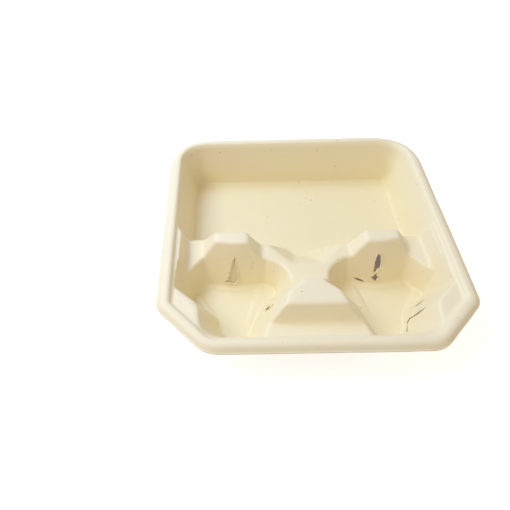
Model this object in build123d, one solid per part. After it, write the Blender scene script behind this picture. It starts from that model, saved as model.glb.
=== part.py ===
"""Moulded fibre cup carrier: two tapered cup wells in front of a deep food basin, pressed as one sheet."""
from build123d import *
from collections import namedtuple
from math import cos, radians, tan
import os

# Driving sizes, in millimetres
overall_width = 240.0
overall_height = 45.0
sheet = 1.5

# Heights above the table
rim_top = overall_height
deck_top = rim_top - 4.0
saddle_top = rim_top - 19.0
ring_top = 2.0 * sheet
floor_top = sheet

# Rim: a flat band whose outer edge rolls down and ends in a thin cut flange
half_width = overall_width / 2
flange_width = 0.4
flange_height = 1.1
lip_radius = 3.6
lip_drop = 4.9
rim_band = 9.4
rim_inner = half_width - rim_band
front_cut = 32.0
back_corner_radius = 26.0
side_corner_radius = 5.0
front_corner_radius = 13.0
recess_draft = 25.4
recess_inner = rim_inner - (rim_top - deck_top) * tan(radians(recess_draft))

# Roundings of the edges
island_radius = 3.0
post_radius = 2.0
basin_foot_radius = 2.0

# A corner of an outline, the draft in degrees of the wall from this corner to the next, and its rounding
Corner = namedtuple("Corner", "x y draft radius", defaults=(0.0,))


def both_sides(front_draft, right_half):
    """Whole outline from its right half, listed from the front to the back."""
    left_half = []
    drafts = [front_draft] + [corner.draft for corner in right_half]
    for corner, draft in zip(right_half, drafts):
        left_half.append(corner._replace(x=-corner.x, draft=draft))
    return right_half + left_half[::-1]


def shifted(corners, distances):
    """Corner points after each side has moved outwards by its own distance."""
    lines = []
    for start, end, distance in zip(corners, corners[1:] + corners[:1], distances):
        along = Vector(end.x - start.x, end.y - start.y).normalized()
        outwards = Vector(along.Y, -along.X)
        lines.append((outwards, outwards.dot(Vector(start.x, start.y)) + distance))
    points = []
    for index, (second, second_offset) in enumerate(lines):
        first, first_offset = lines[index - 1]
        scale = first.X * second.Y - first.Y * second.X
        x = (first_offset * second.Y - second_offset * first.Y) / scale
        y = (second_offset * first.X - first_offset * second.X) / scale
        points.append(Vector(x, y))
    return points


def turns_left(corners, index):
    """True where the outline turns left, at a corner that points out of the hollow."""
    before = corners[index - 1]
    here = corners[index]
    after = corners[(index + 1) % len(corners)]
    return (here.x - before.x) * (after.y - here.y) > (here.y - before.y) * (after.x - here.x)


def nearest_edge(body, place):
    """Edge of the body whose middle is nearest to a place."""
    return min(body.edges(), key=lambda candidate: (candidate.center() - place).length)


def hollow(corners, level, high, low, amount):
    """Drafted hollow between two heights, its outline given at one level.

    Its walls and its floor lie outwards by the amount, measured square to each of them.
    """
    slopes = [tan(radians(corner.draft)) for corner in corners]
    skins = [amount / cos(radians(corner.draft)) for corner in corners]
    foot = low - amount
    upper = shifted(corners, [skin + slope * (high - level) for skin, slope in zip(skins, slopes)])
    lower = shifted(corners, [skin + slope * (foot - level) for skin, slope in zip(skins, slopes)])
    top = [Vector(point.X, point.Y, high) for point in upper]
    bottom = [Vector(point.X, point.Y, foot) for point in lower]
    faces = [Face(Wire.make_polygon(top)), Face(Wire.make_polygon(bottom))]
    for index in range(len(corners)):
        following = (index + 1) % len(corners)
        side = [bottom[index], bottom[following], top[following], top[index]]
        faces.append(Face(Wire.make_polygon(side)))
    body = Solid(Shell(faces))
    for index, corner in enumerate(corners):
        if corner.radius > 0:
            edge = nearest_edge(body, (top[index] + bottom[index]) * 0.5)
            radius = corner.radius + (amount if turns_left(corners, index) else -amount)
            body = body.fillet(radius, [edge])
    return body


def grown_rim(amount):
    """Square outline with cut front corners and round back corners, grown from the rim's inner edge."""
    inner = [
        Corner(rim_inner - front_cut, -rim_inner, recess_draft, front_corner_radius),
        Corner(rim_inner, -rim_inner + front_cut, recess_draft, side_corner_radius),
        Corner(rim_inner, rim_inner, recess_draft, back_corner_radius),
    ]
    outline = both_sides(recess_draft, inner)
    points = shifted(outline, [amount] * len(outline))
    grown = []
    for corner, point in zip(outline, points):
        grown.append(corner._replace(x=point.X, y=point.Y, radius=corner.radius + amount))
    return grown


inner_rim = grown_rim(0.0)

# Food basin, at the height of the deck
basin = both_sides(19.5, [
    Corner(recess_inner, -6.0, 15.8, 12.0),
    Corner(recess_inner, recess_inner, 11.5, 23.0),
])

# Saddle between the rear posts, at its own height: its sides are the sloping ends of the posts
saddle = both_sides(35.0, [
    Corner(20.6, -46.0, 20.0),
    Corner(37.5, -27.0, 38.7),
    Corner(37.5, 8.0, 5.0),
])

# Spout that leads from the saddle down into the basin, and the shoulder beside it, at the saddle's height
spout = both_sides(48.7, [
    Corner(12.5, -29.0, 45.0, 9.0),
    Corner(29.7, -10.0, 30.0, 9.0),
    Corner(29.7, 14.0, 5.0),
])
shoulder = both_sides(35.0, [
    Corner(35.7, -8.0, 25.0),
    Corner(48.0, -0.5, 5.0, 9.0),
    Corner(48.0, 22.0, 5.0),
])

# Shelf between the front wall and the island, and the ramp outside the rear post, at the saddle's height
shelf = both_sides(24.7, [
    Corner(45.0, -99.6, 10.0),
    Corner(40.0, -87.0, 27.2),
])
ramp = [
    Corner(87.0, -27.0, 20.0),
    Corner(101.0, -41.0, 16.7),
    Corner(100.4, 5.0, 5.0),
    Corner(87.0, 5.0, 35.0),
]

# Right cup well at the saddle's height: rear post, inner lobe, island, front wall, corner post, outer lobe
well = [
    Corner(62.1, -25.9, 22.3, 60.0),
    Corner(33.7, -22.7, 22.6, 4.0),
    Corner(21.0, -30.1, 22.4, 7.8),
    Corner(15.3, -39.9, 24.3, 7.8),
    Corner(15.3, -52.8, 30.0, 1.5),
    Corner(27.1, -63.0, 31.0, 10.0),
    Corner(41.0, -99.6, 24.7, 5.0),
    Corner(81.0, -99.6, 21.3, 16.0),
    Corner(83.6, -74.1, 25.1, 16.0),
    Corner(103.5, -56.3, 14.4, 2.5),
    Corner(102.8, -40.7, 17.6, 2.0),
    Corner(86.4, -20.6, 23.6, 5.0),
]

# Sunk floor of the right well, inside the ring that the cup's base rests on
pocket = [
    Corner(61.5, -42.6, 28.0, 75.0),
    Corner(35.5, -35.2, 28.0, 2.0),
    Corner(30.2, -38.2, 28.0, 2.0),
    Corner(27.7, -41.6, 28.0, 1.2),
    Corner(27.7, -43.6, 28.0, 1.2),
    Corner(46.5, -52.0, 28.0, 9.0),
    Corner(53.0, -77.0, 28.0),
    Corner(54.5, -86.5, 28.0, 3.0),
    Corner(68.0, -86.5, 28.0, 3.0),
    Corner(72.3, -69.5, 28.0, 6.0),
    Corner(83.0, -53.5, 28.0, 8.0),
    Corner(95.0, -47.2, 28.0, 1.2),
    Corner(95.0, -45.5, 28.0, 1.2),
    Corner(86.0, -35.2, 28.0, 3.0),
]


# Where the rounded edges lie: distances from the middle plane, then front and back
island_zone = ((0.0, 45.0), (-101.0, -45.0))
crest_zone = ((0.0, 36.5), (-44.0, -6.0))
post_zone = ((36.0, 88.0), (-26.0, -5.0))
basin_zone = ((0.0, half_width), (-3.0, half_width))

# Tears, their outlines on the torn wall: across the rear walls in x and z, up the corner post in y and z
left_rear_tear = [
    (-60.6, 28.8), (-62.1, 24.5), (-63.9, 17.5), (-65.6, 11.5), (-68.4, 7.2), (-61.0, 5.6),
    (-58.2, 8.6), (-57.8, 13.5), (-58.6, 17.5), (-59.2, 22.0),
]
right_rear_tear = [
    (59.0, 29.5), (58.2, 24.0), (57.8, 19.0), (57.5, 14.6),
    (58.8, 14.2), (60.6, 17.3), (62.0, 18.3), (61.4, 24.0),
]
right_rear_hole = [
    (55.7, 9.4), (57.8, 10.2), (59.7, 12.6), (60.2, 10.4),
    (61.6, 9.1), (60.6, 7.4), (59.7, 5.4), (58.0, 7.2),
]
right_rear_slit = [(39.9, 8.1), (45.2, 5.4), (50.2, 4.6), (45.2, 6.8)]
corner_post_tear = [
    (-75.8, 29.0), (-76.6, 21.5), (-75.0, 10.0), (-77.8, 6.4), (-76.6, 6.6), (-74.0, 10.4), (-75.2, 21.5),
]
rear_wall_reach = (-45.0, -14.0)
corner_wall_reach = (60.0, 95.0)


def rear_tear(outline):
    """Hole through the rear wall of a well."""
    front, back = rear_wall_reach
    face = Face(Wire.make_polygon([Vector(x, front, z) for x, z in outline]))
    return extrude(face, back - front, dir=(0, 1, 0))


def side_tear(outline):
    """Hole through the wall of the right corner post."""
    start, end = corner_wall_reach
    face = Face(Wire.make_polygon([Vector(start, y, z) for y, z in outline]))
    return extrude(face, end - start, dir=(1, 0, 0))


def edges_within(shape, heights, sides, depths):
    """Edges that lie between two heights, two distances from the middle plane, and front and back."""
    found = []
    for edge in shape.edges():
        points = [edge.position_at(share) for share in (0.0, 0.5, 1.0)]
        in_height = all(heights[0] - 0.01 < point.Z < heights[1] + 0.01 for point in points)
        in_width = all(sides[0] - 0.01 < abs(point.X) < sides[1] for point in points)
        in_depth = all(depths[0] < point.Y < depths[1] for point in points)
        if in_height and in_width and in_depth:
            found.append(edge)
    return found


def hollows(amount):
    """Every hollow that opens from the rim, its walls and floors moved outwards by the amount."""
    recess = hollow(inner_rim, rim_top, rim_top, deck_top, amount)
    middle = [
        hollow(basin, deck_top, deck_top, floor_top, amount),
        hollow(saddle, saddle_top, deck_top, saddle_top, amount),
        hollow(spout, saddle_top, deck_top, floor_top, amount),
        hollow(shoulder, saddle_top, deck_top, floor_top, amount),
        hollow(shelf, saddle_top, deck_top, saddle_top, amount),
    ]
    right = [
        hollow(well, saddle_top, deck_top, ring_top, amount),
        hollow(pocket, floor_top, ring_top, floor_top, amount),
        hollow(ramp, saddle_top, deck_top, saddle_top, amount),
    ]
    left = [mirror(piece, about=Plane.YZ) for piece in right]
    return recess.fuse(*middle, *right, *left)


def softened_hollows():
    """The hollows of the upper face, their main edges rounded."""
    shape = hollows(0.0)
    island = edges_within(shape, (saddle_top, deck_top), *island_zone)
    crest = edges_within(shape, (saddle_top, saddle_top), *crest_zone)
    shape = shape.fillet(island_radius, island + crest)
    posts = edges_within(shape, (deck_top, deck_top), *post_zone)
    shape = shape.fillet(post_radius, posts)
    foot = edges_within(shape, (floor_top, floor_top), *basin_zone)
    return shape.fillet(basin_foot_radius, foot)


def slab(corners, low, high):
    """Upright slab over an outline that has rounded corners."""
    face = Face(Wire.make_polygon([Vector(corner.x, corner.y, low) for corner in corners]))
    body = extrude(face, high - low, dir=(0, 0, 1)).solid()
    for corner in corners:
        body = body.fillet(corner.radius, [nearest_edge(body, Vector(corner.x, corner.y, (low + high) / 2))])
    return body


def rounded_slab(corners, low, high, radius):
    """Upright slab over an outline, with its upper edge rounded."""
    block = slab(corners, low, high)
    return block.fillet(radius, block.edges().group_by(Axis.Z)[-1])


def rim_shell():
    """Flat rim with the lip that rolls down round it and the thin flange at the lip's cut edge."""
    lip_foot = rim_top - lip_drop
    reach = half_width - flange_width - rim_inner
    lip = rounded_slab(grown_rim(reach), lip_foot, rim_top, lip_radius)
    flange = slab(grown_rim(reach + flange_width), lip_foot, lip_foot + flange_height)
    under = rounded_slab(grown_rim(reach - sheet), lip_foot, rim_top - sheet, lip_radius - sheet)
    return lip + flange - under


def carrier():
    """The whole pressed sheet."""
    body = rim_shell() + hollows(sheet) - softened_hollows()
    for outline in (left_rear_tear, right_rear_tear, right_rear_hole, right_rear_slit):
        body -= rear_tear(outline)
    body -= side_tear(corner_post_tear)
    return body.solid()


tray = carrier()
os.makedirs("parts", exist_ok=True)
export_step(tray, "parts/cup_carrier.step")
print("cup_carrier", tray.bounding_box(), "volume", round(tray.volume))
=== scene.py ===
"""Moulded fibre cup carrier: camera, floor, light and the finish of the pressed sheet."""
import math
import random

import bmesh
import bpy
import numpy as np
from mathutils import Matrix, Vector, noise


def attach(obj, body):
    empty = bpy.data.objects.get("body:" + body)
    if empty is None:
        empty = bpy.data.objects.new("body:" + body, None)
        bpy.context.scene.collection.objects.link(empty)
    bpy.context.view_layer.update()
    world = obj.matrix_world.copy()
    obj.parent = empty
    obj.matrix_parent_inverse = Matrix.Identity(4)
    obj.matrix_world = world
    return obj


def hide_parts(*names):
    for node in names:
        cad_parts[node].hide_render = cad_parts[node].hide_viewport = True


# Camera: pixels of the 510 by 510 picture, metres, radians, and the sensor in millimetres
PICTURE = 510.0
FOCAL = 474.6
PRINCIPAL = (229.6, 242.5)
CAMERA_PLACE = (-0.0625, -0.2775, 0.3341)
CAMERA_PITCH = 0.8461
CAMERA_YAW = -0.0076
CAMERA_ROLL = 0.0245
SENSOR = 36.0
CLIP_START = 0.01
CLIP_END = 20.0

FLOOR_SIZE = 6.0

# Sizes of the tray, in millimetres
HALF = 120.0
RIM_TOP = 45.0
DECK_TOP = 41.0
SADDLE_TOP = 26.0
RING_TOP = 3.0
FLOOR_TOP = 1.5
SHEET = 1.5
RIM_INNER = 110.6
FRONT_CUT = 32.0
RECESS_DRAFT = 25.4
RECESS_INNER = RIM_INNER - (RIM_TOP - DECK_TOP) * math.tan(math.radians(RECESS_DRAFT))
FLANGE = 0.4
FLANGE_HEIGHT = 1.1
LIP_RADIUS = 1.0
LIP_SLOPE = 44.0
LIP_FOOT = RIM_TOP - 4.9
FLANGE_TOP = LIP_FOOT + FLANGE_HEIGHT
LIP_REACH = HALF - FLANGE - RIM_INNER
POCKET_TOP = RING_TOP + 1.0

# Drafts of the hollows' front walls, in degrees
BASIN_FRONT_DRAFT = 19.5
SPOUT_FRONT_DRAFT = 48.7
SHOULDER_FRONT_DRAFT = 35.0
SADDLE_FRONT_DRAFT = 35.0
SHELF_FRONT_DRAFT = 24.7

# Width of the blend for each millimetre of radius, at a right angle and at the top of a drafted wall
RIGHT_ANGLE = 1.17
WALL_TOP = 1.3
LEAST_BLEND = 0.05

# Roundings, in millimetres
EDGE_RADIUS = 1.6
RIM_EDGE_RADIUS = 0.6
FOOT_RADIUS = 1.2
WELL_FOOT_RADIUS = 1.1
RING_RADIUS = 0.35
BASIN_TOP_RADIUS = 0.4
RECESS_FOOT_RADIUS = 0.8
POCKET_FOOT_RADIUS = 1.0
SADDLE_FOOT_RADIUS = 1.5
SHELF_FOOT_RADIUS = 2.0
RAMP_FOOT_RADIUS = 1.5
SPOUT_BLEND = 2.0
CORNER_TAPER = 0.2

# Where the ring sinks into the well's floor, and where the basin's top edge is rounder by the rear posts
RING_END = -72.0
RING_FADE = 20.0
POSTS_BACK = 12.0
POSTS_SIDE = 106.0
POSTS_FADE = 6.0

# Cells of the surface, in millimetres, and how many of them the grid goes past its ends
CELL = 1.6
BELOW_FLOOR = 0.7
PAST_END = 1.5

# Finish of the surface: how its points settle, the outer band that the flange takes the place of, the slow
# unevenness of the pressed face in millimetres, and the angle above which an edge is sharp
SETTLE_ROUNDS = 3
LEAST_SLOPE = 0.2
FLANGE_BAND = 0.6
WANDER = 0.25
WANDER_SCALE = 0.045
SHARP_ANGLE = 60.0

# Light, in metres and watts. The floor's own light is full round the tray and slight under it; there the
# slight, warm brown light, in a patch shifted sideways like the tray's shadow, is a painted shadow.
SURROUND = 0.56
SURROUND_COLOUR = (1.0, 0.86, 0.66, 1.0)
KEY_POWER = 2.9
KEY_SIZE = 0.3
KEY_PLACE = (-0.36, 0.36, 0.65)
KEY_COLOUR = (0.42, 0.64, 1.0)
SIDE_POWER = 3.3
SIDE_SIZE = 0.4
SIDE_PLACE = (-0.6, -0.1, 0.8)
SIDE_COLOUR = (0.95, 1.0, 0.96)
FLOOR_GREY = 0.6
FLOOR_TINT = (1.0, 0.94, 0.91, 1.0)
FLOOR_LIFT = 0.83
# Painted shadow: under the tray the floor's own light is dim and warm brown, in a soft patch shifted to the
# right as the tray's shadow is.
PAINTED_SHADOW_LIFT = 0.138
PAINTED_SHADOW_TINT = (1.0, 0.74, 0.64, 1.0)
PAINTED_SHADOW_REACH = 0.092
PAINTED_SHADOW_FADE = 0.02
PAINTED_SHADOW_WIDER = 0.023
PAINTED_SHADOW_SHIFT = 0.012
PAINTED_SHADOW_CORNER = 0.53

# Fibre: two tones, a paler one towards the rim between two heights in metres that is painted light (the
# rim's fuller light and the hollows' deeper shade put into the colour), a darker ply and the specks.
# Scales are per metre, and the specks' size is a share of their cells.
FIBRE_YELLOW = (0.865, 0.79, 0.52, 1.0)
FIBRE_ROSE = (0.875, 0.755, 0.55, 1.0)
# Painted light: the paler colour that the upper parts turn to with height, standing in for the rim's fuller
# light and sheen and the hollows' deeper shade.
PAINTED_RIM_LIGHT = (0.88, 0.817, 0.69, 1.0)
PAINTED_LIGHT_START = 0.01
PAINTED_LIGHT_END = 0.043
PAINTED_LIGHT_SHARE = 0.6
PLY = (0.73, 0.65, 0.44, 1.0)
SPECK = (0.38, 0.31, 0.19, 1.0)
FIBRE_ROUGHNESS = 0.5
FIBRE_GLOSS = 0.5
TONE_SCALE = 28.0
TONE_DETAIL = 3.0
SPECK_SCALE = 110.0
SPECK_SIZE = 0.08
SPECK_SHARE = 0.6
GRAIN_SCALE = 900.0
GRAIN_DETAIL = 2.0
GRAIN_STRENGTH = 0.25
GRAIN_DEPTH = 0.0003

# Step for slopes, in millimetres
STEP = 0.05

# Outlines: x, y, draft of the wall to the next corner in degrees, radius of the corner
RIM_CORNERS = [
    (RIM_INNER - FRONT_CUT, -RIM_INNER, RECESS_DRAFT, 13.0),
    (RIM_INNER, -RIM_INNER + FRONT_CUT, RECESS_DRAFT, 5.0),
    (RIM_INNER, RIM_INNER, RECESS_DRAFT, 26.0),
]
BASIN = [
    (RECESS_INNER, -6.0, 15.8, 12.0),
    (RECESS_INNER, RECESS_INNER, 11.5, 23.0),
]
SADDLE = [
    (20.6, -46.0, 20.0, 0.5),
    (37.5, -27.0, 38.7, 0.5),
    (37.5, 8.0, 5.0, 0.5),
]
SPOUT = [
    (12.5, -29.0, 45.0, 9.0),
    (29.7, -10.0, 30.0, 9.0),
    (29.7, 14.0, 5.0, 0.5),
]
SHOULDER = [
    (35.7, -8.0, 25.0, 4.0),
    (48.0, -0.5, 5.0, 9.0),
    (48.0, 22.0, 5.0, 0.5),
]
SHELF = [
    (45.0, -99.6, 10.0, 0.5),
    (40.0, -87.0, 27.2, 0.5),
]
RAMP = [
    (87.0, -27.0, 20.0, 0.5),
    (101.0, -41.0, 16.7, 0.5),
    (100.4, 5.0, 5.0, 0.5),
    (87.0, 5.0, 35.0, 0.5),
]
WELL = [
    (62.1, -25.9, 22.3, 60.0),
    (33.7, -22.7, 22.6, 4.0),
    (21.0, -30.1, 22.4, 20.0),
    (15.3, -39.9, 24.3, 20.0),
    (15.3, -52.8, 30.0, 2.5),
    (27.1, -63.0, 31.0, 10.0),
    (41.0, -99.6, 24.7, 6.0),
    (81.0, -99.6, 21.3, 16.0),
    (83.6, -74.1, 25.1, 16.0),
    (103.5, -56.3, 14.4, 4.0),
    (102.8, -40.7, 17.6, 4.0),
    (86.4, -20.6, 23.6, 5.0),
]
POCKET = [
    (61.5, -42.6, 28.0, 75.0),
    (35.5, -35.2, 28.0, 2.0),
    (30.2, -38.2, 28.0, 2.0),
    (27.7, -41.6, 28.0, 1.5),
    (27.7, -43.6, 28.0, 1.5),
    (46.5, -52.0, 28.0, 9.0),
    (53.0, -77.0, 28.0, 12.0),
    (54.5, -86.5, 28.0, 3.0),
    (68.0, -86.5, 28.0, 3.0),
    (72.3, -69.5, 28.0, 6.0),
    (83.0, -53.5, 28.0, 8.0),
    (95.0, -47.2, 28.0, 1.5),
    (95.0, -45.5, 28.0, 1.5),
    (86.0, -35.2, 28.0, 3.0),
]

# Walls with tears: the axis along which the wall is met, and where that starts and ends
X_AXIS, Y_AXIS = 0, 1
REAR_WALL = (Y_AXIS, -45.0, -14.0)
RIGHT_WALL = (X_AXIS, 60.0, 98.0)
ISLAND_WALL = (X_AXIS, -60.0, -25.0)

# Outlines of the tears in the other two axes, in millimetres
LEFT_REAR_TEAR = [
    (-60.6, 28.8), (-62.1, 24.5), (-63.9, 17.5), (-65.6, 11.5), (-68.4, 7.2), (-61.0, 5.6),
    (-58.2, 8.6), (-57.8, 13.5), (-58.6, 17.5), (-59.2, 22.0),
]
RIGHT_REAR_TEAR = [
    (59.2, 29.6), (58.0, 26.5), (57.5, 22.0), (57.3, 17.5), (57.4, 14.2),
    (58.9, 13.9), (60.0, 16.8), (62.1, 17.6), (62.2, 24.0), (61.4, 28.4),
]
RIGHT_REAR_HOLE = [
    (55.7, 9.4), (57.8, 10.2), (59.7, 12.6), (60.2, 10.4),
    (61.6, 9.1), (60.6, 7.4), (59.7, 5.4), (58.0, 7.2),
]
RIGHT_REAR_SLIT = [
    (39.9, 8.2), (42.6, 6.8), (44.0, 5.7), (47.0, 4.9), (51.0, 4.5), (48.6, 5.9), (45.2, 7.3), (43.4, 7.5),
]
CORNER_POST_TEAR = [
    (-75.6, 29.0), (-76.3, 25.6), (-76.9, 21.5), (-76.2, 15.0), (-75.3, 10.0), (-77.8, 6.4), (-76.0, 6.0),
    (-73.6, 10.2), (-74.9, 13.0), (-74.7, 21.5), (-75.5, 25.8),
]
LEFT_REAR_PLY = [(-61.3, 26.6), (-66.5, 10.0), (-70.0, 5.5), (-60.5, 4.0), (-56.6, 8.0), (-57.4, 18.0)]
LEFT_REAR_SCRATCH = [(-43.9, 25.0), (-45.9, 21.0), (-46.7, 17.6), (-46.0, 17.2), (-45.4, 21.0)]
LEFT_FRONT_SLIT = [
    (-68.3, 23.6), (-67.2, 20.6), (-66.9, 18.0), (-64.6, 16.4), (-65.2, 13.2), (-67.4, 13.6), (-68.4, 18.6),
]
LEFT_FRONT_NICKS = [(-67.4, 10.2), (-71.0, 8.0), (-74.8, 6.6), (-80.0, 7.2), (-85.0, 8.4)]
SECOND_SLIT = [(-59.6, 14.8), (-61.8, 14.3), (-64.4, 12.2), (-63.6, 10.2), (-61.5, 11.5)]
LOWER_SLIT = [
    (-77.6, 6.4), (-80.0, 6.7), (-82.9, 7.1), (-85.2, 8.4), (-85.6, 6.6), (-82.9, 5.4), (-80.0, 5.9),
]

# Tears: the wall, the depth, the way the tear leans through the sheet, how ragged its edge is, whether
# fibres stand up along it, and the outline
THROUGH = 5.0
GROOVE = 0.7
LEFT_LEAN = (0.05, 0.58, -0.81)
RIGHT_LEAN = (0.34, 0.51, -0.79)
RAGGED = 0.22
CLEAN = RAGGED / 3
CLEANER = CLEAN / 3
TEARS = [
    (REAR_WALL, THROUGH, LEFT_LEAN, RAGGED, True, LEFT_REAR_TEAR),
    (REAR_WALL, THROUGH, RIGHT_LEAN, RAGGED, True, RIGHT_REAR_TEAR),
    (REAR_WALL, THROUGH, RIGHT_LEAN, RAGGED, True, RIGHT_REAR_HOLE),
    (REAR_WALL, THROUGH, RIGHT_LEAN, CLEAN, False, RIGHT_REAR_SLIT),
    (RIGHT_WALL, THROUGH, RIGHT_LEAN, CLEAN, False, CORNER_POST_TEAR),
    (REAR_WALL, GROOVE, LEFT_LEAN, CLEANER, False, LEFT_REAR_SCRATCH),
    (ISLAND_WALL, THROUGH, LEFT_LEAN, RAGGED, True, LEFT_FRONT_SLIT),
    (RIGHT_WALL, THROUGH, RIGHT_LEAN, CLEAN, False, SECOND_SLIT),
    (RIGHT_WALL, THROUGH, RIGHT_LEAN, CLEAN, False, LOWER_SLIT),
]
CUT_ABOVE = 1.0
RAGGED_STEP = 0.8
NICK_SIZE = 0.45
PLY_DEPTH = 0.9
PLY_SHEET = 0.3
SEED = 7
HALVINGS = 24

# Fibres that stand up along a tear: height and width, and where their foot, tip and root lie
FRINGE_HEIGHT = (0.3, 1.3)
FRINGE_WIDTH = (0.8, 1.4)
FRINGE_FOOT = 0.15
FRINGE_TIP = 0.8
FRINGE_ROOT = (0.02, 0.3)

# Part of the sheet that the tears are cut from, in millimetres, and the seam round it, in metres
TEAR_REACH = 4.5
TEAR_STRIDE = 3
SEAM = 1e-7

# Dents: place, radius and depth, in millimetres
DENTS = [
    ((86.6, -16.5, 27.5), 3.2, 1.6),
    ((-35.6, -35.0, 2.1), 2.2, 0.6),
    ((85.4, -35.2, 2.6), 2.2, 0.6),
]


def both_sides(front_draft, right_half):
    """Whole outline from its right half, listed from the front to the back."""
    drafts = [front_draft] + [corner[2] for corner in right_half]
    left_half = [(-x, y, draft, radius) for (x, y, _, radius), draft in zip(right_half, drafts)]
    return right_half + left_half[::-1]


def smooth_max(first, second, width):
    """Larger of two fields, blended where they differ by less than the width."""
    blend = np.maximum(width - np.abs(first - second), 0.0) / width
    return np.maximum(first, second) + blend * blend * width / 4


def smooth_min(first, second, width):
    """Smaller of two fields, blended where they differ by less than the width."""
    return -smooth_max(-first, -second, width)


def blend_width(radius, first, second):
    """Width of the blend that rounds the edge between two planes to a radius."""
    turn = math.acos(max(-1.0, min(1.0, float(np.dot(first[:3], second[:3])))))
    return max(4 * radius * (1 - math.cos(turn / 2)), LEAST_BLEND)


def wall_planes(corners, level):
    """Planes of the drafted walls: outward normal and offset."""
    planes = []
    for index, (x, y, draft, _) in enumerate(corners):
        next_x, next_y = corners[(index + 1) % len(corners)][:2]
        length = math.hypot(next_x - x, next_y - y)
        lean = math.radians(draft)
        across_x = (next_y - y) / length * math.cos(lean)
        across_y = -(next_x - x) / length * math.cos(lean)
        down = -math.sin(lean)
        planes.append((across_x, across_y, down, across_x * x + across_y * y + down * level))
    return planes


def hollow_field(corners, level, x, y, z, tighter=1.0):
    """Distance outwards from the drafted walls of a hollow, negative inside it."""
    planes = wall_planes(corners, level)
    sides = [nx * x + ny * y + nz * z - offset for nx, ny, nz, offset in planes]
    count = len(corners)
    turns = []
    for index in range(count):
        first, second = planes[index - 1], planes[index]
        turns.append(first[0] * second[1] - first[1] * second[0] > 0)
    faces = list(sides)
    for index in range(count):
        if not turns[index]:
            width = blend_width(corners[index][3], planes[index - 1], planes[index])
            inner = smooth_min(sides[index - 1], sides[index], width)
            faces[index - 1] = inner if turns[index - 1] else np.minimum(faces[index - 1], inner)
            faces[index] = inner
    field = None
    for index in range(count):
        if turns[index]:
            width = blend_width(corners[index][3], planes[index - 1], planes[index]) * tighter
            corner = smooth_max(faces[index - 1], faces[index], width)
            field = corner if field is None else np.maximum(field, corner)
    return field


def with_floor(field, floor, radius, z):
    """Hollow closed by its floor, with a rounded foot."""
    return smooth_max(field, floor - z, RIGHT_ANGLE * radius)


def air_field(x, y, z):
    """Distance to the open side of the sheet's upper face, negative in the air."""
    side = np.abs(x)
    rim = both_sides(RECESS_DRAFT, RIM_CORNERS)
    recess = with_floor(hollow_field(rim, RIM_TOP, x, y, z), DECK_TOP, RECESS_FOOT_RADIUS, z)
    ring = FLOOR_TOP + (RING_TOP - FLOOR_TOP) * np.clip((y - RING_END) / RING_FADE, 0.0, 1.0)
    well = with_floor(hollow_field(WELL, SADDLE_TOP, side, y, z), ring, WELL_FOOT_RADIUS, z)
    pocket = hollow_field(POCKET, FLOOR_TOP, side, y, z)
    pocket = with_floor(pocket, FLOOR_TOP, POCKET_FOOT_RADIUS, z)
    pocket = np.maximum(pocket, z - POCKET_TOP)
    well = smooth_min(well, pocket, RIGHT_ANGLE * RING_RADIUS)
    tighter = np.clip(z / DECK_TOP, CORNER_TAPER, 1.0)
    basin = hollow_field(both_sides(BASIN_FRONT_DRAFT, BASIN), DECK_TOP, x, y, z, tighter)
    basin = with_floor(basin, FLOOR_TOP, FOOT_RADIUS, z)
    spout = hollow_field(both_sides(SPOUT_FRONT_DRAFT, SPOUT), SADDLE_TOP, x, y, z)
    spout = with_floor(spout, FLOOR_TOP, FOOT_RADIUS, z)
    shoulder = hollow_field(both_sides(SHOULDER_FRONT_DRAFT, SHOULDER), SADDLE_TOP, x, y, z)
    shoulder = with_floor(shoulder, FLOOR_TOP, FOOT_RADIUS, z)
    basin = smooth_min(basin, smooth_min(spout, shoulder, SPOUT_BLEND), SPOUT_BLEND)
    saddle = hollow_field(both_sides(SADDLE_FRONT_DRAFT, SADDLE), SADDLE_TOP, x, y, z)
    saddle = with_floor(saddle, SADDLE_TOP, SADDLE_FOOT_RADIUS, z)
    shelf = hollow_field(both_sides(SHELF_FRONT_DRAFT, SHELF), SADDLE_TOP, x, y, z)
    shelf = with_floor(shelf, SADDLE_TOP, SHELF_FOOT_RADIUS, z)
    ramp = hollow_field(RAMP, SADDLE_TOP, side, y, z)
    ramp = with_floor(ramp, SADDLE_TOP, RAMP_FOOT_RADIUS, z)
    edge = WALL_TOP * EDGE_RADIUS
    lower = well
    for field in (saddle, shelf, ramp, basin):
        lower = smooth_min(lower, field, edge)
    near_posts = np.clip((POSTS_BACK - y) / POSTS_BACK, 0.0, 1.0)
    near_posts = near_posts * np.clip((POSTS_SIDE - side) / POSTS_FADE, 0.0, 1.0)
    width = BASIN_TOP_RADIUS + (edge - BASIN_TOP_RADIUS) * near_posts
    upper = smooth_min(recess, RIM_TOP - z, RIGHT_ANGLE * RIM_EDGE_RADIUS)
    return smooth_min(upper, lower, width)


def lip_field(x, y, z):
    """Distance outwards from the lip's outer face."""
    grown = [(cx, cy, 0.0, radius + LIP_REACH) for cx, cy, _, radius in both_sides(0.0, RIM_CORNERS)]
    return hollow_field(grown, RIM_TOP, x, y, z) - LIP_REACH


def sheet_field(x, y, z):
    """Distance to the upper face of the sheet and the outer face of its lip, negative under them."""
    outside = lip_field(x, y, z)
    slope_angle = math.radians(LIP_SLOPE)
    sloping = outside * math.sin(slope_angle) + (z - FLANGE_TOP) * math.cos(slope_angle)
    lip = smooth_max(outside, sloping, LIP_RADIUS / 4)
    return smooth_max(-air_field(x, y, z), lip, RIGHT_ANGLE * LIP_RADIUS)


def slope(x, y, z):
    """Gradient of the sheet's field."""
    parts = []
    for dx, dy, dz in ((STEP, 0, 0), (0, STEP, 0), (0, 0, STEP)):
        ahead = sheet_field(x + dx, y + dy, z + dz)
        behind = sheet_field(x - dx, y - dy, z - dz)
        parts.append((ahead - behind) / (2 * STEP))
    return np.stack(parts, axis=-1)


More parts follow.
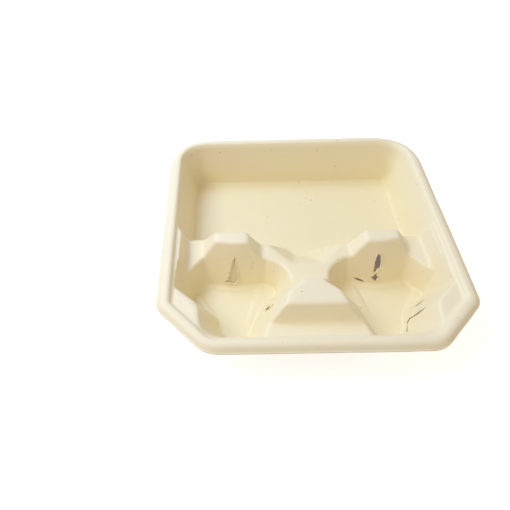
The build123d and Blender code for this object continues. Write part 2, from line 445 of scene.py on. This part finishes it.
def skin():
    """Quads of the sheet's upper face: one point in each cell that the face passes through."""
    axis = np.arange(-HALF - CELL, HALF + CELL * PAST_END, CELL)
    levels = np.arange(FLOOR_TOP - CELL * BELOW_FLOOR, RIM_TOP + CELL * PAST_END, CELL)
    x, y, z = np.meshgrid(axis, axis, levels, indexing="ij")
    field = sheet_field(x, y, z)
    inside = field < 0
    corners = [(i, j, k) for i in (0, 1) for j in (0, 1) for k in (0, 1)]
    nx, ny, nz = (size - 1 for size in field.shape)
    total = np.zeros((nx, ny, nz, 3))
    number = np.zeros((nx, ny, nz))
    for first in corners:
        for along in range(3):
            if first[along] == 1:
                continue
            second = tuple(v + (1 if a == along else 0) for a, v in enumerate(first))
            part_a = field[first[0]:first[0] + nx, first[1]:first[1] + ny, first[2]:first[2] + nz]
            part_b = field[second[0]:second[0] + nx, second[1]:second[1] + ny, second[2]:second[2] + nz]
            crossed = (part_a < 0) != (part_b < 0)
            share = np.where(crossed, part_a / np.where(crossed, part_a - part_b, 1.0), 0.0)
            place = np.zeros((nx, ny, nz, 3))
            for a in range(3):
                place[..., a] = first[a] + (share if a == along else 0.0)
            total += place * crossed[..., None]
            number += crossed
    used = number > 0
    index = -np.ones((nx, ny, nz), dtype=np.int64)
    index[used] = np.arange(used.sum())
    cells = np.argwhere(used)
    offset = total[used] / number[used][:, None]
    origin = np.array([axis[0], axis[0], levels[0]])
    points = origin + (cells + offset) * CELL
    quads = []
    for along in range(3):
        a, b = [d for d in range(3) if d != along]
        low = [slice(None)] * 3
        high = [slice(None)] * 3
        low[along] = slice(0, -1)
        high[along] = slice(1, None)
        change = inside[tuple(low)] != inside[tuple(high)]
        rising = inside[tuple(low)] & change
        where = np.argwhere(change)
        keep = (where[:, a] > 0) & (where[:, b] > 0)
        keep &= (where[:, a] < index.shape[a]) & (where[:, b] < index.shape[b])
        where = where[keep]
        sign = rising[tuple(where.T)]
        ring = []
        for da, db in ((-1, -1), (0, -1), (0, 0), (-1, 0)):
            cell = where.copy()
            cell[:, a] += da
            cell[:, b] += db
            ring.append(index[tuple(cell.T)])
        ring = np.stack(ring, axis=1)
        flip = sign if along != 1 else ~sign
        ring[~flip] = ring[~flip][:, ::-1]
        quads.append(ring)
    return points, np.concatenate(quads)


def add_camera():
    """Camera at the place and angle of the photograph."""
    data = bpy.data.cameras.new("camera")
    camera = bpy.data.objects.new("camera", data)
    bpy.context.scene.collection.objects.link(camera)
    data.sensor_width = SENSOR
    data.lens = SENSOR * FOCAL / PICTURE
    data.shift_x = (PICTURE / 2 - PRINCIPAL[0]) / PICTURE
    data.shift_y = (PRINCIPAL[1] - PICTURE / 2) / PICTURE
    data.clip_start = CLIP_START
    data.clip_end = CLIP_END
    ahead = Vector((
        math.sin(CAMERA_YAW) * math.cos(CAMERA_PITCH),
        math.cos(CAMERA_YAW) * math.cos(CAMERA_PITCH),
        -math.sin(CAMERA_PITCH),
    ))
    level = Vector((math.cos(CAMERA_YAW), -math.sin(CAMERA_YAW), 0.0))
    down = ahead.cross(level)
    right = level * math.cos(CAMERA_ROLL) + down * math.sin(CAMERA_ROLL)
    up = level * math.sin(CAMERA_ROLL) - down * math.cos(CAMERA_ROLL)
    turn = Matrix((right, up, -ahead)).transposed()
    camera.matrix_world = Matrix.Translation(CAMERA_PLACE) @ turn.to_4x4()
    bpy.context.scene.camera = camera


def worked(tree, operation, *values):
    """Socket with the result of a Math node that takes sockets and numbers."""
    node = tree.nodes.new("ShaderNodeMath")
    node.operation = operation
    for index, value in enumerate(values):
        if isinstance(value, (int, float)):
            node.inputs[index].default_value = value
        else:
            tree.links.new(value, node.inputs[index])
    return node.outputs[0]


def seen_directly(tree):
    """Socket that is 1 for a ray from the camera or by a reflection or see-through surface, else 0."""
    path = tree.nodes.new("ShaderNodeLightPath")
    either = worked(tree, "MAXIMUM", path.outputs["Is Camera Ray"], path.outputs["Is Glossy Ray"])
    return worked(tree, "MAXIMUM", either, path.outputs["Is Transmission Ray"])


def outside_painted_shadow(tree):
    """Socket that is 1 on the floor round the tray and 0 under it, in the painted shadow: a soft patch
    shifted to the right like the tray's shadow.
    """
    place = tree.nodes.new("ShaderNodeSeparateXYZ")
    tree.links.new(tree.nodes.new("ShaderNodeNewGeometry").outputs["Position"], place.inputs[0])
    side = worked(tree, "ABSOLUTE", worked(tree, "SUBTRACT", place.outputs[0], PAINTED_SHADOW_SHIFT))
    ahead = worked(tree, "ABSOLUTE", place.outputs[1])
    corner = worked(tree, "MULTIPLY", worked(tree, "ADD", side, ahead), PAINTED_SHADOW_CORNER)
    reach = worked(tree, "MAXIMUM", worked(tree, "SUBTRACT", side, PAINTED_SHADOW_WIDER), ahead)
    share = tree.nodes.new("ShaderNodeMapRange")
    share.interpolation_type = "SMOOTHSTEP"
    tree.links.new(worked(tree, "MAXIMUM", reach, corner), share.inputs["Value"])
    share.inputs["From Min"].default_value = PAINTED_SHADOW_REACH - PAINTED_SHADOW_FADE
    share.inputs["From Max"].default_value = PAINTED_SHADOW_REACH
    return share.outputs["Result"]


def add_floor():
    """White floor that keeps the object's soft shadow, with a painted shadow under the tray, where its own
    light is dim and warm brown.
    """
    half = FLOOR_SIZE / 2
    mesh = bpy.data.meshes.new("floor")
    corners = [(-half, -half, 0.0), (half, -half, 0.0), (half, half, 0.0), (-half, half, 0.0)]
    mesh.from_pydata(corners, [], [(0, 1, 2, 3)])
    floor = bpy.data.objects.new("floor", mesh)
    bpy.context.scene.collection.objects.link(floor)
    material = bpy.data.materials.new("floor")
    material.use_nodes = True
    tree = material.node_tree
    shader = tree.nodes["Principled BSDF"]
    shader.inputs["Base Color"].default_value = (FLOOR_GREY, FLOOR_GREY, FLOOR_GREY, 1.0)
    shader.inputs["Roughness"].default_value = 1.0
    shader.inputs["Specular IOR Level"].default_value = 0.0
    clear_of_painted_shadow = outside_painted_shadow(tree)
    # Painted shadow: the floor's own light turns warm brown under the tray.
    painted_shadow_mix = tree.nodes.new("ShaderNodeMix")
    painted_shadow_mix.data_type = "RGBA"
    tree.links.new(clear_of_painted_shadow, painted_shadow_mix.inputs["Factor"])
    painted_shadow_mix.inputs["A"].default_value = PAINTED_SHADOW_TINT
    painted_shadow_mix.inputs["B"].default_value = FLOOR_TINT
    tree.links.new(painted_shadow_mix.outputs["Result"], shader.inputs["Emission Color"])
    lift = worked(tree, "MULTIPLY_ADD", clear_of_painted_shadow, FLOOR_LIFT - PAINTED_SHADOW_LIFT, PAINTED_SHADOW_LIFT)
    lift = worked(tree, "MULTIPLY", seen_directly(tree), lift)
    tree.links.new(lift, shader.inputs["Emission Strength"])
    floor.data.materials.append(material)


def add_surround():
    """Even light from all round, white where it is seen."""
    world = bpy.data.worlds.new("surround")
    world.use_nodes = True
    tree = world.node_tree
    light = tree.nodes["Background"]
    light.inputs["Color"].default_value = SURROUND_COLOUR
    light.inputs["Strength"].default_value = SURROUND
    white = tree.nodes.new("ShaderNodeBackground")
    white.inputs["Color"].default_value = (1.0, 1.0, 1.0, 1.0)
    white.inputs["Strength"].default_value = 1.0
    mix = tree.nodes.new("ShaderNodeMixShader")
    tree.links.new(seen_directly(tree), mix.inputs[0])
    tree.links.new(light.outputs[0], mix.inputs[1])
    tree.links.new(white.outputs[0], mix.inputs[2])
    tree.links.new(mix.outputs[0], tree.nodes["World Output"].inputs["Surface"])
    bpy.context.scene.world = world


def add_lamp(name, place, power, size, colour):
    """Square lamp that faces the tray."""
    data = bpy.data.lights.new(name, "AREA")
    data.energy = power
    data.size = size
    data.color = colour
    lamp = bpy.data.objects.new(name, data)
    bpy.context.scene.collection.objects.link(lamp)
    lamp.location = place
    lamp.rotation_euler = (-lamp.location).to_track_quat("-Z", "Y").to_euler()


def fibre_material(name, yellow, rose):
    """Pressed plant fibre: slow changes of tone, painted light that makes it paler towards the rim, dark
    specks and a fine grain.
    """
    material = bpy.data.materials.new(name)
    material.use_nodes = True
    tree = material.node_tree
    shader = tree.nodes["Principled BSDF"]
    shader.inputs["Roughness"].default_value = FIBRE_ROUGHNESS
    shader.inputs["Specular IOR Level"].default_value = FIBRE_GLOSS
    place = tree.nodes.new("ShaderNodeTexCoord").outputs["Object"]
    tone = tree.nodes.new("ShaderNodeTexNoise")
    tone.inputs["Scale"].default_value = TONE_SCALE
    tone.inputs["Detail"].default_value = TONE_DETAIL
    tree.links.new(place, tone.inputs["Vector"])
    tones = tree.nodes.new("ShaderNodeMix")
    tones.data_type = "RGBA"
    tones.inputs["A"].default_value = yellow
    tones.inputs["B"].default_value = rose
    tree.links.new(tone.outputs["Fac"], tones.inputs["Factor"])
    height = tree.nodes.new("ShaderNodeSeparateXYZ")
    tree.links.new(place, height.inputs[0])
    # Painted light: paler with height, for the rim's fuller light and sheen and the hollows' deeper shade.
    painted_light_ramp = tree.nodes.new("ShaderNodeMapRange")
    tree.links.new(height.outputs[2], painted_light_ramp.inputs["Value"])
    painted_light_ramp.inputs["From Min"].default_value = PAINTED_LIGHT_START
    painted_light_ramp.inputs["From Max"].default_value = PAINTED_LIGHT_END
    painted_light_ramp.inputs["To Max"].default_value = PAINTED_LIGHT_SHARE
    with_painted_light = tree.nodes.new("ShaderNodeMix")
    with_painted_light.data_type = "RGBA"
    tree.links.new(painted_light_ramp.outputs["Result"], with_painted_light.inputs["Factor"])
    tree.links.new(tones.outputs["Result"], with_painted_light.inputs["A"])
    with_painted_light.inputs["B"].default_value = PAINTED_RIM_LIGHT
    cells = tree.nodes.new("ShaderNodeTexVoronoi")
    cells.inputs["Scale"].default_value = SPECK_SCALE
    tree.links.new(place, cells.inputs["Vector"])
    chance = tree.nodes.new("ShaderNodeSeparateColor")
    tree.links.new(cells.outputs["Color"], chance.inputs[0])
    size = worked(tree, "MULTIPLY", chance.outputs[0], SPECK_SIZE)
    speck = worked(tree, "LESS_THAN", cells.outputs["Distance"], size)
    share = worked(tree, "MULTIPLY", speck, SPECK_SHARE)
    speckled = tree.nodes.new("ShaderNodeMix")
    speckled.data_type = "RGBA"
    tree.links.new(share, speckled.inputs["Factor"])
    tree.links.new(with_painted_light.outputs["Result"], speckled.inputs["A"])
    speckled.inputs["B"].default_value = SPECK
    tree.links.new(speckled.outputs["Result"], shader.inputs["Base Color"])
    grain = tree.nodes.new("ShaderNodeTexNoise")
    grain.inputs["Scale"].default_value = GRAIN_SCALE
    grain.inputs["Detail"].default_value = GRAIN_DETAIL
    tree.links.new(place, grain.inputs["Vector"])
    bump = tree.nodes.new("ShaderNodeBump")
    bump.inputs["Strength"].default_value = GRAIN_STRENGTH
    bump.inputs["Distance"].default_value = GRAIN_DEPTH
    tree.links.new(grain.outputs["Fac"], bump.inputs["Height"])
    tree.links.new(bump.outputs["Normal"], shader.inputs["Normal"])
    return material


def settled(points, rounds):
    """Points moved onto the sheet's upper face along its slope."""
    for _ in range(rounds):
        field = sheet_field(*points.T)
        rise = slope(*points.T)
        size = np.maximum((rise * rise).sum(axis=1), LEAST_SLOPE)
        points = points - (field / size)[:, None] * rise
    return points


def wandering(points):
    """Slow unevenness of the pressed face, in millimetres."""
    values = np.empty(len(points))
    for index, (x, y, z) in enumerate(points):
        values[index] = noise.noise(Vector((x, y, z)) * WANDER_SCALE)
    return values * WANDER


def dented(points):
    """How far each point is pressed in, in millimetres."""
    depth = np.zeros(len(points))
    for place, radius, deepest in DENTS:
        gap = np.linalg.norm(points - np.array(place), axis=1)
        depth += deepest * np.exp(-(gap / radius) ** 2)
    return depth


def new_mesh(name, points, faces):
    """Mesh of faces between points in millimetres, without the points that no face uses."""
    mesh = bpy.data.meshes.new(name)
    used = sorted({corner for face in faces for corner in face})
    order = {old: new for new, old in enumerate(used)}
    kept = np.asarray(points)[used] / 1000
    mesh.from_pydata(kept.tolist(), [], [[order[corner] for corner in face] for face in faces])
    mesh.validate()
    shape = bmesh.new()
    shape.from_mesh(mesh)
    bmesh.ops.recalc_face_normals(shape, faces=shape.faces)
    shape.to_mesh(mesh)
    shape.free()
    return mesh


def open_edges(quads):
    """Directed edges that only one quad has."""
    edges = {}
    for ring in range(4):
        for first, second in quads[:, [ring, (ring + 1) % 4]].tolist():
            edges[(first, second)] = True
    return [(a, b) for a, b in edges if (b, a) not in edges]


def close_to(places, centres):
    """Which centres are close to one of the places."""
    close = np.zeros(len(centres), dtype=bool)
    for place in places:
        close |= np.abs(centres - place).max(axis=1) < TEAR_REACH
    return close


def sheet_parts(torn_places):
    """Points of the pressed sheet, its faces away from the tears, those close to them, and their ends."""
    points, quads = skin()
    points = settled(points, SETTLE_ROUNDS)
    below = points[quads][:, :, 2].mean(axis=1) < FLANGE_TOP
    outer = lip_field(*points[quads].mean(axis=1).T) > -FLANGE_BAND
    quads = quads[~(below & outer)]
    used = np.unique(quads)
    renumbered = np.zeros(len(points), dtype=np.int64)
    renumbered[used] = np.arange(len(used))
    points = points[used]
    quads = renumbered[quads]
    border = open_edges(quads)
    rim = np.unique(np.array(border))
    points[rim, 2] = FLANGE_TOP
    away = slope(*points.T)
    away /= np.linalg.norm(away, axis=1)[:, None]
    away[rim, 2] = 0.0
    away[rim] /= np.linalg.norm(away[rim], axis=1)[:, None]
    top = points + away * (wandering(points) - dented(points))[:, None]
    top[rim, 2] = FLANGE_TOP
    under = top - away * SHEET
    under[rim, 2] = FLANGE_TOP
    under[:, 2] = np.maximum(under[:, 2], 0.0)
    reach = top[rim] + away[rim] * FLANGE
    foot = reach.copy()
    foot[:, 2] = LIP_FOOT
    inner_foot = under[rim].copy()
    inner_foot[:, 2] = LIP_FOOT
    everything = np.concatenate([top, under, reach, foot, inner_foot])
    everything[:, :2] = np.clip(everything[:, :2], -HALF, HALF)
    everything[:, 2] = np.minimum(everything[:, 2], RIM_TOP)
    count = len(points)
    position = {vertex: order for order, vertex in enumerate(rim.tolist())}
    starts = [2 * count + row * len(rim) for row in range(3)]
    close = close_to(torn_places, points[quads].mean(axis=1))
    faces = quads[~close].tolist() + (quads[~close][:, ::-1] + count).tolist()
    close_faces = quads[close].tolist() + (quads[close][:, ::-1] + count).tolist()
    ends = [[b, a, a + count, b + count] for a, b in open_edges(quads[close])]
    for a, b in border:
        rows = [(a, b)]
        rows += [(start + position[a], start + position[b]) for start in starts]
        rows.append((a + count, b + count))
        for upper, lower in zip(rows, rows[1:]):
            faces.append([upper[1], upper[0], lower[0], lower[1]])
    return everything, faces, close_faces, ends


def ragged(outline, step, amount, chance):
    """Outline with torn, uneven edges."""
    points = []
    for (ax, ay), (bx, by) in zip(outline, outline[1:] + outline[:1]):
        count = max(1, round(math.hypot(bx - ax, by - ay) / step))
        for part in range(count):
            share = part / count
            x = ax + (bx - ax) * share + chance.uniform(-amount, amount)
            y = ay + (by - ay) * share + chance.uniform(-amount, amount)
            points.append((x, y))
    return points


def on_wall(outline, wall):
    """Points where lines along the wall's axis first meet the sheet's upper face."""
    axis, start, end = wall
    points = np.zeros((len(outline), 3))
    others = [other for other in range(3) if other != axis]
    points[:, others] = outline
    air = np.full(len(outline), start)
    solid = np.full(len(outline), end)
    for _ in range(HALVINGS):
        middle = (air + solid) / 2
        points[:, axis] = middle
        inside = sheet_field(*points.T) < 0
        solid = np.where(inside, middle, solid)
        air = np.where(inside, air, middle)
    return points


def prism(points, normal, above, depth):
    """Points and faces of a prism through the wall."""
    count = len(points)
    both = np.concatenate([points + normal * above, points - normal * depth])
    faces = [list(range(count)), list(range(2 * count - 1, count - 1, -1))]
    for index in range(count):
        after = (index + 1) % count
        faces.append([after, index, index + count, after + count])
    return both, faces


def joined(pieces):
    """Points and faces of several pieces together."""
    points = []
    faces = []
    start = 0
    for piece_points, piece_faces in pieces:
        points.append(piece_points)
        faces += [[corner + start for corner in face] for face in piece_faces]
        start += len(piece_points)
    return np.concatenate(points), faces


def wall_normal(points):
    """Mean direction away from the wall."""
    away = slope(*points.T).mean(axis=0)
    return away / np.linalg.norm(away)


def tear_pieces():
    """Cutting prisms of the tears, the raised fibres along their edges, and the ply behind one of them."""
    chance = random.Random(SEED)
    cutters = []
    fibres = []
    for wall, depth, lean, amount, fringed, outline in TEARS:
        points = on_wall(ragged(outline, RAGGED_STEP, amount, chance), wall)
        cutters.append(prism(points, -np.array(lean), CUT_ABOVE, depth))
        if fringed:
            fibres.append(raised_edge(points, wall_normal(points), chance))
    for y, z in LEFT_FRONT_NICKS:
        square = [(y - NICK_SIZE, z), (y, z - NICK_SIZE), (y + NICK_SIZE, z), (y, z + NICK_SIZE)]
        points = on_wall(square, ISLAND_WALL)
        cutters.append(prism(points, wall_normal(points), CUT_ABOVE, GROOVE))
    points = on_wall(LEFT_REAR_PLY, REAR_WALL)
    ply = prism(points, wall_normal(points), -PLY_DEPTH, PLY_DEPTH + PLY_SHEET)
    return joined(cutters), joined(fibres), ply


def raised_edge(points, normal, chance):
    """Ring of torn fibres that stand up along the edge of a tear."""
    count = len(points)
    middle = points.mean(axis=0)
    rows = []
    for index in range(count):
        along = points[(index + 1) % count] - points[index - 1]
        outward = np.cross(along, normal)
        outward /= max(np.linalg.norm(outward), 0.001)
        if np.dot(outward, points[index] - middle) < 0:
            outward = -outward
        height = chance.uniform(*FRINGE_HEIGHT)
        width = chance.uniform(*FRINGE_WIDTH)
        rows.append(points[index] + outward * width - normal * FRINGE_FOOT)
        rows.append(points[index] + outward * width * FRINGE_TIP + normal * height)
        rows.append(points[index] + outward * FRINGE_ROOT[0] - normal * FRINGE_ROOT[1])
    faces = []
    for index in range(count):
        here = 3 * index
        after = 3 * ((index + 1) % count)
        for side in range(3):
            other = (side + 1) % 3
            faces.append([here + side, here + other, after + other, after + side])
    return np.array(rows), faces


def cut_by(cutter, mesh, materials):
    """Mesh after the cutter is taken out of it."""
    piece = bpy.data.objects.new("torn", mesh)
    tool = bpy.data.objects.new("tears", cutter)
    for material in materials:
        mesh.materials.append(material)
    for part in (piece, tool):
        bpy.context.scene.collection.objects.link(part)
    cut = piece.modifiers.new("tears", "BOOLEAN")
    cut.operation = "DIFFERENCE"
    cut.solver = "EXACT"
    cut.use_self = True
    cut.object = tool
    ready = bpy.context.evaluated_depsgraph_get()
    result = bpy.data.meshes.new_from_object(piece.evaluated_get(ready))
    bpy.data.objects.remove(piece)
    bpy.data.objects.remove(tool)
    return result


def torn_sheet(fibre, ply_fibre):
    """Pressed sheet with its tears cut, their fibres, and the ply that is left behind one of them.

    Only the part of the sheet close to the tears is cut. It is closed by end faces, which carry the
    second material as a mark, and joined to the rest once they are deleted.
    """
    (cutter_points, cutter_faces), (fibre_points, fibre_faces), (ply_points, ply_faces) = tear_pieces()
    points, faces, close_faces, ends = sheet_parts(cutter_points[::TEAR_STRIDE])
    close = new_mesh("close", points, close_faces + ends)
    marks = np.zeros(len(close.polygons), dtype=np.int32)
    marks[-len(ends):] = 1
    close.polygons.foreach_set("material_index", marks)
    torn = cut_by(new_mesh("tears", cutter_points, cutter_faces), close, (fibre, ply_fibre))
    whole = bmesh.new()
    whole.from_mesh(torn)
    marked = [face for face in whole.faces if face.material_index == 1]
    bmesh.ops.delete(whole, geom=marked, context="FACES")
    whole.from_mesh(new_mesh("away", points, faces))
    bmesh.ops.remove_doubles(whole, verts=whole.verts, dist=SEAM)
    bmesh.ops.recalc_face_normals(whole, faces=whole.faces)
    whole.from_mesh(new_mesh("fibres", fibre_points, fibre_faces))
    ply = new_mesh("ply", ply_points, ply_faces)
    ply.polygons.foreach_set("material_index", np.ones(len(ply.polygons), dtype=np.int32))
    whole.from_mesh(ply)
    sheet = bpy.data.meshes.new("pressed_sheet")
    sheet.materials.append(fibre)
    sheet.materials.append(ply_fibre)
    whole.to_mesh(sheet)
    whole.free()
    sheet.polygons.foreach_set("use_smooth", np.ones(len(sheet.polygons), dtype=bool))
    sheet.set_sharp_from_angle(angle=math.radians(SHARP_ANGLE))
    tray = bpy.data.objects.new("pressed_sheet", sheet)
    bpy.context.scene.collection.objects.link(tray)
    return tray


bpy.context.scene.view_settings.view_transform = "Standard"
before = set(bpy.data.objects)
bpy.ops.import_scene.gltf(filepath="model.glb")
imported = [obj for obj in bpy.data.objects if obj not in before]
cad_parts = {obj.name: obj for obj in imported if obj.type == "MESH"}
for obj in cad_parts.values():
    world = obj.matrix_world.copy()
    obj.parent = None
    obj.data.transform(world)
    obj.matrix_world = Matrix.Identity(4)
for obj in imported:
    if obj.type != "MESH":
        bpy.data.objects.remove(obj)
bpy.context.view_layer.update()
add_camera()
add_floor()
add_surround()
add_lamp("key", KEY_PLACE, KEY_POWER, KEY_SIZE, KEY_COLOUR)
add_lamp("side", SIDE_PLACE, SIDE_POWER, SIDE_SIZE, SIDE_COLOUR)
tray = torn_sheet(fibre_material("fibre", FIBRE_YELLOW, FIBRE_ROSE), fibre_material("ply", PLY, PLY))
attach(tray, "root")
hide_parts("cup_carrier")
